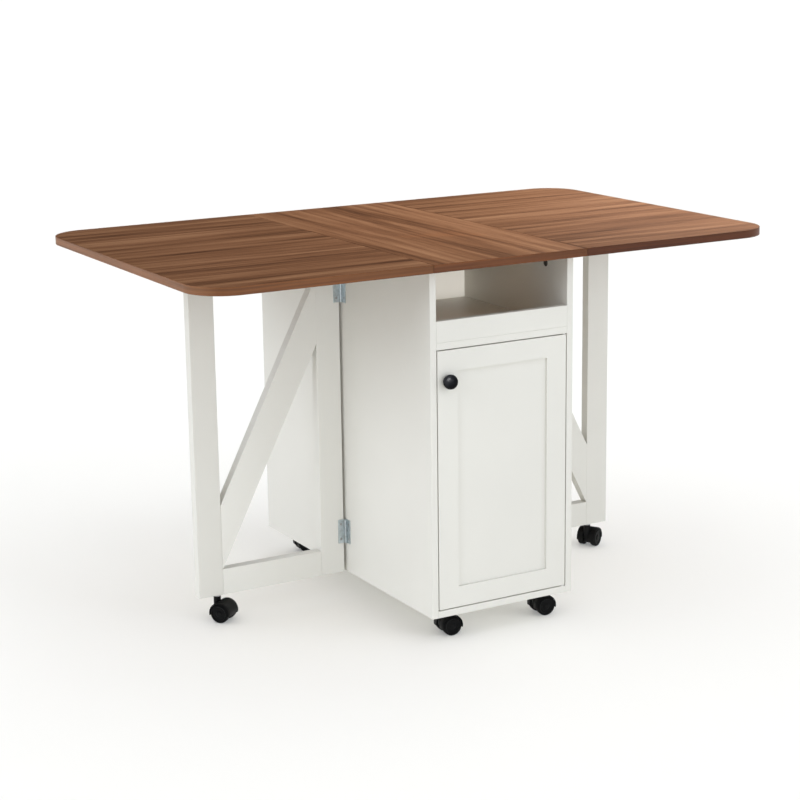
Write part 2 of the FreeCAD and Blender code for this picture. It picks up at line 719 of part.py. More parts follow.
# Top boards
centre_blank = box(
    "centre_blank",
    ("-CentreWidth / 2", "-TopDepth / 2", UNDER_TOP),
    ("CentreWidth", "TopDepth", "TopThickness"),
)
centre = carve(
    "top_centre",
    ease("centre_eased", centre_blank, "TopEase", level),
    hinge_set("centre_pockets", "leaf", "fixed_pocket"),
    hinge_set("centre_screws", "leaf", "fixed_screws"),
    cam_bolts,
)
node(centre, "top_centre")
for side in ("left", "right"):
    name = f"leaf_{side}"
    seam_edge = "(CentreWidth / 2 + SeamGap)"
    leaf_blank = box(
        f"{name}_blank",
        (outward(side, seam_edge, "TopLength / 2"), "-TopDepth / 2", UNDER_TOP),
        (f"TopLength / 2 - {seam_edge}", "TopDepth", "TopThickness"),
    )
    leaf_round = ease(f"{name}_round", leaf_blank, "LeafCorner", outer_corner)
    leaf = carve(
        name,
        ease(f"{name}_eased", leaf_round, "TopEase", level),
        hinge_set(f"{name}_pockets", "leaf", "moving_pocket", (side,)),
        hinge_set(f"{name}_screw_holes", "leaf", "moving_screws", (side,)),
    )
    node(leaf, name)
    plates = hinge_set(f"leaf_hinge_plates_{side}", "leaf", "moving", (side,))
    node(plates, f"leaf_hinge_plates_{side}")
    screws = hinge_set(f"leaf_screws_{side}", "leaf", "moving_screws", (side,))
    node(screws, f"leaf_screws_{side}")

# Gate legs
WINDOW_LOW = "(CasterHeight + GateMember)"
WINDOW_WIDE = "(GateLength - 2 * GateMember)"
WINDOW_TALL = f"({RAIL_TOP} - GateMember - {WINDOW_LOW})"
RAIL_IN = f"({GATE_IN} + GateMember)"
RAIL_OUT = f"({GATE_OUT} - GateMember)"
BRACE_LEAN = (
    f"(acos(BraceWidth / sqrt({WINDOW_WIDE} ^ 2 + {WINDOW_TALL} ^ 2))"
    f" - atan({WINDOW_WIDE} / {WINDOW_TALL}))"
)
brace_bar = box(
    "brace_bar",
    (f"-{WINDOW_TALL}", "-GateThickness / 2", "-BraceWidth / 2"),
    (f"2 * {WINDOW_TALL}", "GateThickness", "BraceWidth"),
)
for side in ("left", "right"):
    gate = f"gate_{side}"
    gate_dowels = {"bottom": [], "top": [], "inner": [], "outer": []}
    for rail, middle in (
        ("bottom", "CasterHeight + GateMember / 2"),
        ("top", f"{RAIL_TOP} - GateMember / 2"),
    ):
        for post, joint in (("inner", RAIL_IN), ("outer", RAIL_OUT)):
            for tag, shift in (("low", "-GateDowelSpread / 2"), ("high", "GateDowelSpread / 2")):
                start = mirrored(side, f"{joint} - GateDowelLength / 2")
                dowel = rod(
                    f"{gate}_dowel_{rail}_{post}_{tag}",
                    (start, "0", f"{middle} + {shift}"),
                    "DowelRadius",
                    "GateDowelLength",
                    toward(side),
                )
                gate_dowels[rail].append(dowel)
                gate_dowels[post].append(dowel)
    node(gather(f"{gate}_dowels", gate_dowels["bottom"] + gate_dowels["top"]), f"{gate}_dowels")
    caster_stem = node(gather(f"{gate}_caster_stem", [stems[gate]]), f"{gate}_caster_stem")
    plates = hinge_set(f"{gate}_hinge_plates", "gate", "moving", (side,))
    node(plates, f"{gate}_hinge_plates")
    screws = hinge_set(f"{gate}_screws", "gate", "moving_screws", (side,))
    node(screws, f"{gate}_screws")

    holes = {joint: gather(f"{gate}_{joint}_holes", gate_dowels[joint]) for joint in gate_dowels}
    rail_low = f"({RAIL_TOP} - GateMember)"
    members = (
        ("inner_post", GATE_IN, RAIL_IN, "CasterHeight", GATE_TOP, (holes["inner"], screws)),
        ("outer_post", RAIL_OUT, GATE_OUT, "CasterHeight", GATE_TOP, (holes["outer"], caster_stem)),
        ("bottom_rail", RAIL_IN, RAIL_OUT, "CasterHeight", WINDOW_LOW, (holes["bottom"],)),
        ("top_rail", RAIL_IN, RAIL_OUT, rail_low, RAIL_TOP, (holes["top"],)),
    )
    for member, near, far, low, high, tools in members:
        name = f"{gate}_{member}"
        blank = box(
            f"{name}_blank",
            (outward(side, near, far), "-GateThickness / 2", low),
            (f"{far} - {near}", "GateThickness", f"{high} - {low}"),
        )
        node(carve(name, ease(f"{name}_eased", blank, "GateEase"), *tools), name)

    window = box(
        f"{gate}_window",
        (outward(side, RAIL_IN, RAIL_OUT), "-GateThickness / 2", WINDOW_LOW),
        (WINDOW_WIDE, "GateThickness", WINDOW_TALL),
    )
    centre_x = mirrored(side, f"({RAIL_IN} + {RAIL_OUT}) / 2")
    centre_spot = (centre_x, "0", f"{WINDOW_LOW} + {WINDOW_TALL} / 2")
    leaning = copy_at(f"{gate}_leaning", brace_bar, centre_spot, FreeCAD.Rotation(Y, 1))
    leaning.setExpression("Placement.Rotation.Angle", bound(mirrored(side, BRACE_LEAN)))
    brace = doc.addObject("Part::Common", f"{gate}_brace")
    brace.Base = leaning
    brace.Tool = window
    node(brace, f"{gate}_brace")

# Check every object and write the sub-parts
doc.recompute()
for thing in doc.Objects:
    if "Invalid" in thing.State or "Error" in thing.State:
        raise RuntimeError(f"{thing.Name} did not compute")
    if hasattr(thing, "Shape") and (thing.Shape.isNull() or not thing.Shape.isValid()):
        raise RuntimeError(f"{thing.Name} has no valid shape")
os.makedirs("parts", exist_ok=True)
for thing in nodes:
    thing.Shape.exportStep(f"parts/{thing.Label}.step")
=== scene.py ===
import json
import logging
import math
from dataclasses import dataclass
from enum import Enum
from typing import Callable, Sequence, Union

import bpy
import numpy as np
from mathutils import Matrix


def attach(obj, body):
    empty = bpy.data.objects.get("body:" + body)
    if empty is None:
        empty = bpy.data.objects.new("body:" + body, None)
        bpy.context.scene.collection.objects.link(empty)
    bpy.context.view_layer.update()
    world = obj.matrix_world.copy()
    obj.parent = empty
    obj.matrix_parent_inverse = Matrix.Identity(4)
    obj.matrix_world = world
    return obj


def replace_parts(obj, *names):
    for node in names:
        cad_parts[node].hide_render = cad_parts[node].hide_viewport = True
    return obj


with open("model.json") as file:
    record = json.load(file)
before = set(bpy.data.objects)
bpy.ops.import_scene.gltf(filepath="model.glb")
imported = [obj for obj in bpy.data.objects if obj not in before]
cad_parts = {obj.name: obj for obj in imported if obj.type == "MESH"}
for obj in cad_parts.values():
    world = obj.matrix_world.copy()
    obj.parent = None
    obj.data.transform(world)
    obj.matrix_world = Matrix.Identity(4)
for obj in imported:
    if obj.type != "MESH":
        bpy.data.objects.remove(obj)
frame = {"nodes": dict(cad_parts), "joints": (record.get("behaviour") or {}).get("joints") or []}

log = logging.getLogger("kitchen_table")
# Pieces have their sizes in millimetres, and finishes and the studio in metres.
MM = 0.001
ORIGIN = (0.0, 0.0, 0.0)
UNIT = (0.0, 1.0)
SHARP_ANGLE = math.radians(38.0)
# Rows above this share of a turned profile's height belong to its face.
FACE_SHARE = 0.999
# Parts of a cloud's values that hold most of its change.
NARROW = (0.35, 0.65)
WIDE = (0.3, 0.7)
# Sockets of the mix node that carry colours.
MIX_UNDER, MIX_OVER, MIXED = 6, 7, 2
# A direction with a larger upright part than this counts as upright.
UPRIGHT_SHARE = 0.9
ROD_ROWS = 3
BOARDS = ("leaf_left", "top_centre", "leaf_right")
Pair = tuple[float, float]
Outline = tuple[Pair, ...]
Triple = tuple[float, float, float]
Colour = tuple[float, float, float]
Socket = bpy.types.NodeSocket
Value = Union[float, Sequence[float], Socket]


class Side(Enum):
    """The two ends of the table."""

    LEFT = -1
    RIGHT = 1

    @property
    def word(self) -> str:
        """Word for this side in the names of the pieces."""
        return self.name.lower()


class Grain(Enum):
    """Turn that brings a board's grain onto the pattern's first axis."""

    ALONG_LENGTH = ORIGIN
    ALONG_DEPTH = (0.0, 0.0, -math.pi / 2)
    UPRIGHT = (0.0, math.pi / 2, 0.0)


@dataclass(frozen=True)
class Cloud:
    """Cloudy pattern: its scale on each axis, octaves, share of each finer octave, and bend."""

    scale: Triple
    octaves: float
    rough: float
    bend: float = 0.0


class Bench:
    """Node tree of one material, with short calls to add and wire its nodes."""

    def __init__(self, name: str) -> None:
        """Start a material with a lone surface shader.

        Args:
            name: Name of the material.
        """
        self.material = bpy.data.materials.new(name)
        self.material.use_nodes = True
        self.tree = self.material.node_tree
        self.tree.nodes.clear()
        self.output = self.tree.nodes.new("ShaderNodeOutputMaterial")
        self.shader = self.tree.nodes.new("ShaderNodeBsdfPrincipled")
        self.tree.links.new(self.shader.outputs[0], self.output.inputs[0])

    def feed(self, node: bpy.types.Node, socket: Union[str, int], value: Value) -> None:
        """Wire a socket into a node's input, or set a plain value on it.

        Args:
            node: Node that takes the value.
            socket: Name or number of its input.
            value: Another node's output, a number or a colour.
        """
        if isinstance(value, Socket):
            self.tree.links.new(value, node.inputs[socket])
        else:
            node.inputs[socket].default_value = value

    def place(self, turn: Triple, scale: Triple, shift: Triple = ORIGIN) -> Socket:
        """Object coordinates, turned to the grain and then stretched.

        Args:
            turn: Turn about the axes, in radians.
            scale: Stretch of each turned axis.
            shift: Move of the turned and stretched pattern.

        Returns:
            The placed coordinates.
        """
        where = self.tree.nodes.new("ShaderNodeTexCoord")
        turned_node = self.tree.nodes.new("ShaderNodeMapping")
        self.feed(turned_node, "Rotation", turn)
        self.feed(turned_node, "Vector", where.outputs["Object"])
        stretched = self.tree.nodes.new("ShaderNodeMapping")
        self.feed(stretched, "Scale", scale)
        self.feed(stretched, "Location", shift)
        self.feed(stretched, "Vector", turned_node.outputs[0])
        return stretched.outputs[0]

    def along(self, axis: str, scale: float = 1.0) -> Socket:
        """One of the object coordinates.

        Args:
            axis: Letter of the axis.
            scale: Stretch of the coordinate.

        Returns:
            The coordinate.
        """
        node = self.tree.nodes.new("ShaderNodeSeparateXYZ")
        self.feed(node, 0, self.place(ORIGIN, (scale, scale, scale)))
        return node.outputs[axis]

    def noise(self, cloud: Cloud, turn: Triple = ORIGIN, shift: Triple = ORIGIN) -> Socket:
        """Cloudy pattern on the object coordinates.

        Args:
            cloud: The pattern.
            turn: Turn that brings the grain onto the first axis, in radians.
            shift: Move of the pattern.

        Returns:
            Values from 0 to 1.
        """
        node = self.tree.nodes.new("ShaderNodeTexNoise")
        self.feed(node, "Vector", self.place(turn, cloud.scale, shift))
        self.feed(node, "Scale", 1.0)
        self.feed(node, "Detail", cloud.octaves)
        self.feed(node, "Roughness", cloud.rough)
        self.feed(node, "Distortion", cloud.bend)
        return node.outputs[0]

    def sums(self, kind: str, first: Value, second: Value = 0.0) -> Socket:
        """Arithmetic on one or two values.

        Args:
            kind: Name of the operation.
            first: First value.
            second: Second value.

        Returns:
            The result.
        """
        node = self.tree.nodes.new("ShaderNodeMath")
        node.operation = kind
        self.feed(node, 0, first)
        self.feed(node, 1, second)
        return node.outputs[0]

    def spread(self, value: Socket, read: Pair, given: Pair = UNIT) -> Socket:
        """Map one range of values onto another, clamped.

        Args:
            value: Values to map.
            read: Start and end of the range that is read.
            given: Start and end of the range that is given.

        Returns:
            The mapped values.
        """
        node = self.tree.nodes.new("ShaderNodeMapRange")
        for number, part in enumerate((value, *read, *given)):
            self.feed(node, number, part)
        return node.outputs[0]

    def uneven(self, pattern: Socket, rough: float, swing: Pair) -> Socket:
        """Roughness that follows a pattern, from one end of its swing about the mean to the other."""
        return self.spread(pattern, WIDE, tuple(rough + part for part in swing))

    def ramp(self, value: Socket, stops: Sequence[tuple[float, Colour]]) -> Socket:
        """Colours along a value.

        Args:
            value: Values from 0 to 1.
            stops: Places and their colours, two or more.

        Returns:
            The colour.
        """
        node = self.tree.nodes.new("ShaderNodeValToRGB")
        band = node.color_ramp
        for number, (spot, colour) in enumerate(stops):
            stop = band.elements[number] if number < len(band.elements) else band.elements.new(spot)
            stop.position = spot
            stop.color = (*colour, 1.0)
        self.feed(node, 0, value)
        return node.outputs[0]

    def tinted(self, share: Value, under: Value, over: Value, kind: str = "MIX") -> Socket:
        """One colour laid over another.

        Args:
            share: How much of the upper colour shows.
            under: Lower colour.
            over: Upper colour.
            kind: Way of mixing.

        Returns:
            The mixed colour.
        """
        node = self.tree.nodes.new("ShaderNodeMix")
        node.data_type = "RGBA"
        node.blend_type = kind
        self.feed(node, 0, share)
        for socket, colour in ((MIX_UNDER, under), (MIX_OVER, over)):
            self.feed(node, socket, colour if isinstance(colour, Socket) else (*colour, 1.0))
        return node.outputs[MIXED]

    def rim(self, half: Pair, corner: float) -> Socket:
        """Distance from the rim of a rounded rectangle in plan, negative inside it.

        It is the length of max(|p| - half + corner, 0), less the corner radius.

        Args:
            half: Half of its length and of its depth.
            corner: Radius of its corners.

        Returns:
            The distance in metres.
        """
        away = self.place(ORIGIN, (1.0, 1.0, 0.0))
        inner = (half[0] - corner, half[1] - corner, 0.0)
        steps = (("ABSOLUTE", ORIGIN), ("SUBTRACT", inner), ("MAXIMUM", ORIGIN), ("LENGTH", ORIGIN))
        for kind, other in steps:
            node = self.tree.nodes.new("ShaderNodeVectorMath")
            node.operation = kind
            self.feed(node, 0, away)
            self.feed(node, 1, other)
            away = node.outputs[0]
        return self.sums("SUBTRACT", node.outputs[1], corner)

    def relief(self, height: Socket, depth: float, share: float) -> None:
        """Fine relief on the shader.

        Args:
            height: Height pattern from 0 to 1.
            depth: Depth of the relief in metres.
            share: Share of it that is used.
        """
        node = self.tree.nodes.new("ShaderNodeBump")
        self.feed(node, "Strength", share)
        self.feed(node, "Distance", depth)
        self.feed(node, "Height", height)
        self.feed(self.shader, "Normal", node.outputs[0])

    def surface(self, **values: Value) -> None:
        """Set or wire the shader's own sockets, named with underscores for blanks."""
        for name, value in values.items():
            self.feed(self.shader, name.replace("_", " "), value)


def shaded(colour: Colour, share: float) -> Colour:
    """A colour with each part at a share of its strength."""
    return tuple(share * part for part in colour)


@dataclass(frozen=True)
class WalnutVeneer:
    """Walnut decor: bands, streaks, threads and short pores along the grain, and a layered edge band with
    painted light and shade.
    """

    name: str
    grain: Grain
    shift: Triple
    # Edge band colours at the ends and along the front and back. They carry painted light and shade: an end
    # that faces the light is painted paler, and edges that face away are painted darker.
    edge: Colour
    front: Colour
    tone: float = 1.0
    dark: Colour = (0.068, 0.027, 0.0114)
    middle: Colour = (0.173, 0.074, 0.0313)
    light: Colour = (0.268, 0.131, 0.0617)
    middle_stop: float = 0.48
    half: Pair = (0.645, 0.400)
    corner: float = 0.080
    rough: float = 0.46
    rough_swing: Pair = (0.05, -0.03)
    shine: float = 0.35
    bands: Cloud = Cloud((1.3, 25.0, 25.0), 2.0, 0.5, 0.45)
    streaks: Cloud = Cloud((3.0, 80.0, 80.0), 4.0, 0.62, 0.3)
    threads: Cloud = Cloud((7.0, 420.0, 420.0), 3.0, 0.6)
    pores: Cloud = Cloud((34.0, 1500.0, 1500.0), 2.0, 0.5)
    layers: Cloud = Cloud((4.0, 4.0, 260.0), 3.0, 0.6, 0.2)
    pattern_shares: Triple = (0.46, 0.38, 0.16)
    tone_range: Pair = (0.36, 0.64)
    pore_range: Pair = (0.60, 0.72)
    pore_share: float = 0.55
    layer_share: float = 0.62
    # Where along the rim the front colour blends into the end colour; both colours carry painted light and
    # shade.
    end_shares: Pair = (0.45, 0.15)
    rim_range: Pair = (-1.1 * MM, -0.5 * MM)
    relief_depth: float = 0.12 * MM
    relief_share: float = 0.35

    def edge_band(self, bench: Bench) -> Socket:
        """Layered colour of the edges, from the front and back edges to the ends, with painted light and
        shade that differs between them.

        Args:
            bench: Node tree of the veneer.

        Returns:
            The colour.
        """
        layers = bench.noise(self.layers, shift=self.shift)
        out = bench.sums("ABSOLUTE", bench.along("X"))
        ends = tuple(self.half[0] - share * self.corner for share in self.end_shares)
        # Painted light and shade along the rim: the front colour blends into the end colour near the ends.
        side = bench.tinted(bench.spread(out, ends), self.front, self.edge)
        deep = bench.tinted(1.0, side, (self.layer_share,) * 3, "MULTIPLY")
        return bench.tinted(bench.spread(layers, NARROW), deep, side)

    def material(self) -> bpy.types.Material:
        """Build the veneer.

        Returns:
            The material.
        """
        bench = Bench(self.name)
        clouds = (self.bands, self.streaks, self.threads, self.pores)
        turn = self.grain.value
        bands, streaks, threads, pores = (bench.noise(each, turn, self.shift) for each in clouds)
        parts = zip((bands, streaks, threads), self.pattern_shares)
        broad, fine, finest = (bench.sums("MULTIPLY", pattern, share) for pattern, share in parts)
        tone = bench.sums("ADD", bench.sums("ADD", broad, fine), finest)
        stops = ((0.0, self.dark), (1.0, self.light), (self.middle_stop, self.middle))
        stops = tuple((spot, shaded(colour, self.tone)) for spot, colour in stops)
        colour = bench.ramp(bench.spread(tone, self.tone_range), stops)
        dashes = bench.spread(pores, self.pore_range, (0.0, self.pore_share))
        colour = bench.tinted(dashes, colour, self.dark)
        outer = bench.spread(bench.rim(self.half, self.corner), self.rim_range)
        colour = bench.tinted(outer, colour, self.edge_band(bench))
        rough = bench.uneven(streaks, self.rough, self.rough_swing)
        bench.surface(Base_Color=colour, Roughness=rough, Specular_IOR_Level=self.shine)
        bench.relief(bench.sums("SUBTRACT", threads, dashes), self.relief_depth, self.relief_share)
        return bench.material


@dataclass(frozen=True)
class WhiteLacquer:
    """Warm white satin lacquer with a faint roller texture."""

    name: str
    colour: Colour = (0.696, 0.681, 0.620)
    deep_share: float = 0.965
    rough: float = 0.42
    rough_swing: Pair = (-0.04, 0.05)
    shine: float = 0.45
    clouds: Cloud = Cloud((3.0, 3.0, 3.0), 3.0, 0.5)
    peel: Cloud = Cloud((700.0, 700.0, 700.0), 2.0, 0.5)
    relief_depth: float = 0.04 * MM
    relief_share: float = 0.25

    def material(self) -> bpy.types.Material:
        """Build the lacquer.

        Returns:
            The material.
        """
        bench = Bench(self.name)
        clouds = bench.noise(self.clouds)
        deep = shaded(self.colour, self.deep_share)
        colour = bench.tinted(bench.spread(clouds, NARROW), self.colour, deep)
        rough = bench.uneven(clouds, self.rough, self.rough_swing)
        bench.surface(Base_Color=colour, Roughness=rough, Specular_IOR_Level=self.shine)
        bench.relief(bench.noise(self.peel), self.relief_depth, self.relief_share)
        return bench.material


@dataclass(frozen=True)
class PlatedMetal:
    """Plated or bare metal with fine draw lines and a few duller spots."""

    name: str
    colour: Colour
    rough: float
    grain: Grain = Grain.UPRIGHT
    dull_share: float = 0.78
    rough_swing: Pair = (-0.06, 0.10)
    lines: Cloud = Cloud((60.0, 2600.0, 2600.0), 2.0, 0.5)
    spots: Cloud = Cloud((160.0, 160.0, 160.0), 4.0, 0.6)
    spot_range: Pair = (0.45, 0.7)
    relief_depth: float = 0.03 * MM
    relief_share: float = 0.3

    def material(self) -> bpy.types.Material:
        """Build the metal.

        Returns:
            The material.
        """
        bench = Bench(self.name)
        lines, spots = (bench.noise(each, self.grain.value) for each in (self.lines, self.spots))
        dull = shaded(self.colour, self.dull_share)
        colour = bench.tinted(bench.spread(spots, self.spot_range), self.colour, dull)
        rough = bench.uneven(lines, self.rough, self.rough_swing)
        bench.surface(Base_Color=colour, Roughness=rough, Metallic=1.0)
        bench.relief(lines, self.relief_depth, self.relief_share)
        return bench.material


@dataclass(frozen=True)
class MouldedPolymer:
    """Moulded plastic with a fine eroded texture and paler scuffs."""

    name: str
    colour: Colour
    rough: float
    shine: float = 0.35
    pale_share: float = 1.25
    pale_lift: float = 0.002
    rough_swing: Pair = (-0.05, 0.10)
    pits: Cloud = Cloud((1100.0, 1100.0, 1100.0), 3.0, 0.6)
    scuffs: Cloud = Cloud((70.0, 70.0, 70.0), 4.0, 0.65)
    scuff_range: Pair = (0.5, 0.75)
    relief_depth: float = 0.05 * MM
    relief_share: float = 0.3

    def material(self) -> bpy.types.Material:
        """Build the plastic.

        Returns:
            The material.
        """
        bench = Bench(self.name)
        scuffs = bench.noise(self.scuffs)
        pale = tuple(min(1.0, part + self.pale_lift) for part in shaded(self.colour, self.pale_share))
        colour = bench.tinted(bench.spread(scuffs, self.scuff_range), self.colour, pale)
        rough = bench.uneven(scuffs, self.rough, self.rough_swing)
        bench.surface(Base_Color=colour, Roughness=rough, Specular_IOR_Level=self.shine)
        bench.relief(bench.noise(self.pits), self.relief_depth, self.relief_share)
        return bench.material


@dataclass(frozen=True)
class RawBeech:
    """Bare beech with short flecks."""

    name: str
    colour: Colour = (0.52, 0.36, 0.20)
    deep_share: float = 0.7
    rough: float = 0.65
    flecks: Cloud = Cloud((90.0, 900.0, 900.0), 3.0, 0.6)
    fleck_range: Pair = (0.4, 0.7)
    relief_depth: float = 0.1 * MM
    relief_share: float = 0.4

    def material(self) -> bpy.types.Material:
        """Build the wood.

        Returns:
            The material.
        """
        bench = Bench(self.name)
        flecks = bench.noise(self.flecks)
        deep = shaded(self.colour, self.deep_share)
        colour = bench.tinted(bench.spread(flecks, self.fleck_range), self.colour, deep)
        bench.surface(Base_Color=colour, Roughness=self.rough)
        bench.relief(flecks, self.relief_depth, self.relief_share)
        return bench.material


@dataclass(frozen=True)
class PaleFloor:
    """Even pale studio floor with a barely seen mottle."""

    name: str
    colour: Colour = (0.955, 0.93, 0.865)
    deep_share: float = 0.985
    rough: float = 0.9
    mottle: Cloud = Cloud((1.5, 1.5, 1.5), 3.0, 0.5)

    def material(self) -> bpy.types.Material:
        """Build the floor finish.

        Returns:
            The material.
        """
        bench = Bench(self.name)
        deep = shaded(self.colour, self.deep_share)
        colour = bench.tinted(bench.noise(self.mottle), self.colour, deep)
        bench.surface(Base_Color=colour, Roughness=self.rough, Specular_IOR_Level=0.0)
        return bench.material


@dataclass(frozen=True)
class PaleBackdrop:
    """Pale glow behind the floor, at its full light from a height in metres on."""

    name: str
    light: float
    height: float = 50.0

    def material(self) -> bpy.types.Material:
        """Build the backdrop finish.

        Returns:
            The material.
        """
        bench = Bench(self.name)
        rise = bench.along("Z", 1.0 / self.height)
        glow = bench.tree.nodes.new("ShaderNodeEmission")
        bench.feed(glow, "Strength", bench.spread(rise, UNIT, (self.light, 1.0)))
        bench.feed(bench.output, 0, glow.outputs[0])
        return bench.material


class Finishes:
    """All finishes of the table, each built once."""

    def __init__(self) -> None:
        """Build every finish."""
        along, across = Grain.ALONG_LENGTH, Grain.ALONG_DEPTH
        # Edge band colours with painted light and shade: the left leaf's end is painted lit, and its front
        # and all other edges are painted in shade.
        lit_end_tan, shaded_front_brown, shaded_edge_umber = (0.265, 0.112, 0.046), (0.187, 0.068, 0.021), (0.155, 0.050, 0.014)
        shaded_edge_dusk = (0.095, 0.025, 0.006)
        left = WalnutVeneer("walnut_left", along, (0.3, 1.7, 0.0), edge=lit_end_tan, front=shaded_front_brown, tone=1.06)
        right = WalnutVeneer("walnut_right", along, (2.9, 4.1, 0.0), edge=shaded_edge_dusk, front=shaded_edge_dusk, tone=1.04)
        centre = WalnutVeneer("walnut_centre", across, (5.2, 8.3, 0.0), edge=shaded_edge_umber, front=shaded_edge_umber, tone=1.18)
        zinc = PlatedMetal("zinc_plate", colour=(0.62, 0.69, 0.72), rough=0.38)
        steel = PlatedMetal("plain_steel", colour=(0.52, 0.52, 0.53), rough=0.30)
        tread = MouldedPolymer("wheel_black", colour=(0.004, 0.0042, 0.0044), rough=0.45, shine=0.12)
        hood = MouldedPolymer("hood_black", colour=(0.0035, 0.0037, 0.004), rough=0.38, shine=0.16)
        knob = MouldedPolymer("knob_black", colour=(0.0015, 0.0016, 0.002), rough=0.34, shine=0.045)
        cam = MouldedPolymer("cam_dark", colour=(0.040, 0.034, 0.028), rough=0.40)
        nylon = MouldedPolymer("white_nylon", colour=(0.72, 0.72, 0.70), rough=0.40, shine=0.4)
        self.leaf_left = left.material()
        self.leaf_right = right.material()
        self.centre = centre.material()
        self.lacquer = WhiteLacquer("white_lacquer").material()
        self.zinc = zinc.material()
        self.steel = steel.material()
        self.tread = tread.material()
        self.hood = hood.material()
        self.knob = knob.material()
        self.cam = cam.material()
        self.beech = RawBeech("raw_beech").material()
        self.nylon = nylon.material()


def dress(node: str, material: bpy.types.Material) -> None:
    """Give a carried-over solid its finish.

    Args:
        node: Name of the solid.
        material: Its finish.
    """
    mesh = frame["nodes"][node].data
    mesh.materials.clear()
    mesh.materials.append(material)


def hinge_of(name: str) -> dict:
    """Joint of the frame by its name, with its axis and place."""
    return next(joint for joint in frame["joints"] if joint["name"] == name)


def linked(name: str, data: bpy.types.ID) -> bpy.types.Object:
    """Put a mesh, lamp or camera into the scene.

    Args:
        name: Name of the object.
        data: What it shows.

    Returns:
        The object, at the origin.
    """
    thing = bpy.data.objects.new(name, data)
    bpy.context.scene.collection.objects.link(thing)
    return thing


@dataclass
class Surface:
    """Points and faces of one surface, in metres."""

    points: np.ndarray
    quads: np.ndarray
    tris: np.ndarray

    def placed(self, axes: Sequence[Sequence[float]], spot: Sequence[float]) -> "Surface":
        """The surface carried onto a right-handed set of axes, with its origin at a spot."""
        points = self.points @ np.asarray(axes, float) + np.asarray(spot, float)
        return Surface(points, self.quads, self.tris)

    @staticmethod
    def joined(parts: Sequence["Surface"]) -> "Surface":
        """Several surfaces as one, with their points counted on.

        Args:
            parts: The surfaces.

        Returns:
            All of them together.
        """
        starts = np.cumsum([0] + [len(part.points) for part in parts[:-1]])
        return Surface(
            np.concatenate([part.points for part in parts]),
            np.concatenate([part.quads + start for part, start in zip(parts, starts)]),
            np.concatenate([part.tris + start for part, start in zip(parts, starts)]),
        )

    def mesh(self, name: str, material: bpy.types.Material) -> bpy.types.Mesh:
        """Put the surface into a mesh.

        Args:
            name: Name of the mesh.
            material: Its finish.

        Returns:
            The mesh.
        """
        mesh = bpy.data.meshes.new(name)
        mesh.from_pydata(self.points.tolist(), [], self.quads.tolist() + self.tris.tolist())
        mesh.materials.append(material)
        return mesh

    def piece(self, name: str, body: str, slot: str, material: bpy.types.Material) -> bpy.types.Object:
        """Make the surface a piece that rides on a body.

        Args:
            name: Name of the piece.
            body: Body it moves with.
            slot: Material slot of the record; not used.
            material: Its finish.

        Returns:
            The piece.
        """
        mesh = self.mesh(name, material)
        mesh.polygons.foreach_set("use_smooth", np.ones(len(mesh.polygons), bool))
        mesh.set_sharp_from_angle(angle=SHARP_ANGLE)
        thing = linked(name, mesh)
        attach(thing, body)
        log.info("piece %s on %s: %d faces", name, body, len(mesh.polygons))
        return thing


Relief = Callable[[np.ndarray, np.ndarray], np.ndarray]


def turned(profile: np.ndarray, steps: int, relief: Relief | None = None) -> Surface:
    """Turn a profile about the own Z axis.

    The point at profile row i and turn a is (r_i cos a, r_i sin a, h_i), lowered by relief(x, y) on
    the top face where a relief is given. The first and last rows lie on the axis and become poles.

    Args:
        profile: Rows of radius and height from pole to pole, going up on the outside.
        steps: Points around.
        relief: Depth below the profile as a function of x and y, cut into its top face.

    Returns:
        The closed surface.
    """
    angle = np.linspace(0.0, 2.0 * np.pi, steps, endpoint=False)
    radius, height = profile[1:-1, :1], profile[1:-1, 1:]
    x, y = radius * np.cos(angle), radius * np.sin(angle)
    z = np.broadcast_to(height, x.shape).copy()
    poles = np.array([[0.0, 0.0, profile[0, 1]], [0.0, 0.0, profile[-1, 1]]])
    if relief is not None:
        upper = height > FACE_SHARE * profile[:, 1].max()
        z -= np.where(upper, relief(x, y), 0.0)
        poles[1, 2] -= float(relief(np.zeros(1), np.zeros(1))[0])
    points = np.concatenate([np.stack([x, y, z], -1).reshape(-1, 3), poles])
    rows, ring = len(profile) - 2, np.arange(steps)
    after = (ring + 1) % steps
    low = np.arange(rows - 1)[:, None] * steps
    quads = np.stack([low + ring, low + after, low + steps + after, low + steps + ring], -1).reshape(-1, 4)
    first, last, top = rows * steps, rows * steps + 1, (rows - 1) * steps
    tris = np.concatenate(
        [
            np.stack([np.full(steps, first), after, ring], -1),
            np.stack([np.full(steps, last), top + ring, top + after], -1),
        ]
    )
    return Surface(points, quads, tris)


def arched(section: np.ndarray, start: float, stop: float, steps: int) -> Surface:
    """Carry a section along an arc about the own Z axis.

    The point at section row i and turn a is (r_i cos a, r_i sin a, h_i). The section is a convex loop
    of height and radius, first out along its inner side and then back along its outer one. Its first
    point is the hub of the fans that close both ends of the arc.

    Args:
        section: Rows of height and radius, in metres.
        start: First turn in radians.
        stop: Last turn in radians.
        steps: Turns from first to last.

    Returns:
        The closed surface.
    """
    turn = np.linspace(start, stop, steps)
    height, radius = section[:, :1], section[:, 1:]
    points = np.stack([radius * np.cos(turn), radius * np.sin(turn), height + 0.0 * turn], -1)
    place = np.arange(points.shape[0] * steps).reshape(-1, steps)
    after = np.roll(place, -1, 0)
    quads = np.stack([place[:, :-1], after[:, :-1], after[:, 1:], place[:, 1:]], -1).reshape(-1, 4)
    fan = np.arange(1, len(section) - 1)
    wedge = np.stack([np.zeros_like(fan), fan, fan + 1], -1)
    tris = np.concatenate([place[wedge[:, ::-1], 0], place[wedge, -1]])
    return Surface(points.reshape(-1, 3), quads, tris)


